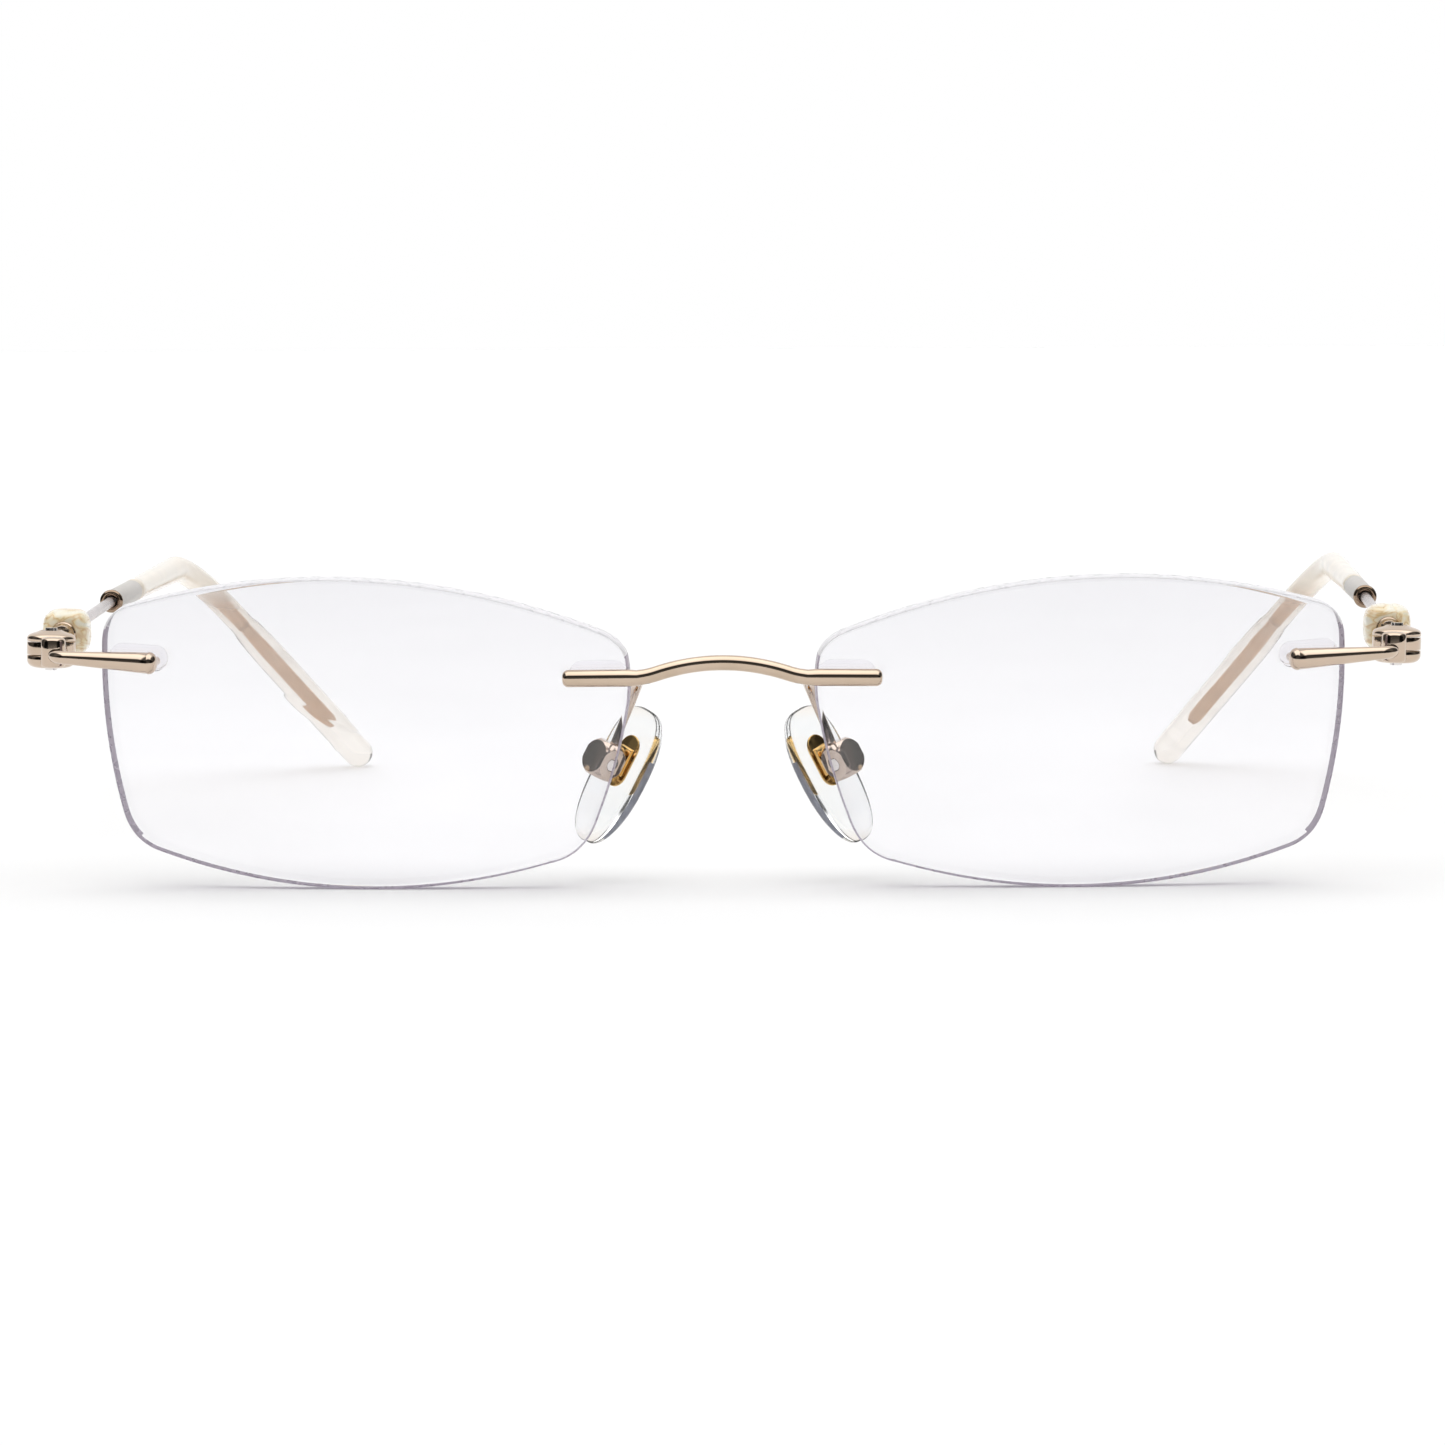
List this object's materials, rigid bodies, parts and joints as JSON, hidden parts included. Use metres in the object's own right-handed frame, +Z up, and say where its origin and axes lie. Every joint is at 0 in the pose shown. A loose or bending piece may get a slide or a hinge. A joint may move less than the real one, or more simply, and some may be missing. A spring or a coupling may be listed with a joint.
{
  "type": "eyeglasses",
  "caption": "Rimless eyeglasses with drilled lenses, a wire bridge, rocking nose pads and slim hinged temples with pearl beads and clear tips",
  "frame": {"origin": "under the middle of the outer box, on the surface that the lenses and the temple tips rest on", "axes": "+X to the wearer's left, along the width; +Y backwards from the lenses to the temple tips; +Z up"},
  "size_m": [0.1427, 0.1338, 0.0309],
  "materials": {
    "lens": "clear, polished, with a faint cool coating",
    "clear_bushing": "clear, moulded",
    "pad_metal": "polished taupe plating",
    "screw_metal": "polished",
    "gold_plate": "polished gold plating",
    "clear_pad": "clear, soft gloss",
    "rose_metal": "polished rose-gold plating",
    "bridge_metal": "polished champagne plating",
    "pearl": "pearly, with golden streaks",
    "wire_metal": "satin mauve-grey plating",
    "sleeve_plastic": "matte warm grey",
    "clear_tip": "translucent, pearly"
  },
  "bodies": {
    "front": {"lens_left": "lens", "lens_right": "lens", "bridge": "bridge_metal", "bridge_bushing_left": "clear_bushing", "bridge_bushing_right": "clear_bushing", "endpiece_bushing_left": "clear_bushing", "endpiece_bushing_right": "clear_bushing", "pad_arm_left": "pad_metal", "pad_arm_right": "pad_metal", "pad_box_left": "pad_metal", "pad_box_right": "pad_metal", "pad_screw_left": "screw_metal", "pad_screw_right": "screw_metal", "endpiece_left": "rose_metal", "endpiece_right": "rose_metal", "hinge_screw_left": "screw_metal", "hinge_screw_right": "screw_metal"},
    "temple_left": {"temple_root_left": "rose_metal", "bead_left": "pearl", "bead_caps_left": "rose_metal", "temple_wire_left": "wire_metal", "collar_left": "gold_plate", "sleeve_left": "sleeve_plastic", "temple_tip_left": "clear_tip"},
    "temple_right": {"temple_root_right": "rose_metal", "bead_right": "pearl", "bead_caps_right": "rose_metal", "temple_wire_right": "wire_metal", "collar_right": "gold_plate", "sleeve_right": "sleeve_plastic", "temple_tip_right": "clear_tip"},
    "pad_left": {"pad_insert_left": "gold_plate", "nose_pad_left": "clear_pad"},
    "pad_right": {"pad_insert_right": "gold_plate", "nose_pad_right": "clear_pad"}
  },
  "joints": [
    {"name": "temple_left_fold", "type": "hinge", "parent": "front", "child": "temple_left", "pos_m": [0.06466, -0.05645, 0.0235], "axis": [0.0227, 0, 0.9997], "range_deg": [-1.1, 82.6]},
    {"name": "temple_right_fold", "type": "hinge", "parent": "front", "child": "temple_right", "pos_m": [-0.06894, -0.05645, 0.0235], "axis": [-0.0227, 0, -0.9997], "range_deg": [-4.8, 78.9]},
    {"name": "pad_left_rock", "type": "hinge", "parent": "front", "child": "pad_left", "pos_m": [0.00971, -0.05845, 0.01245], "axis": [0.5727, 0.766, 0.2918], "range_deg": [-10, 10]},
    {"name": "pad_right_rock", "type": "hinge", "parent": "front", "child": "pad_right", "pos_m": [-0.01399, -0.05845, 0.01245], "axis": [-0.5727, 0.766, 0.2918], "range_deg": [-10, 10]}
  ]
}
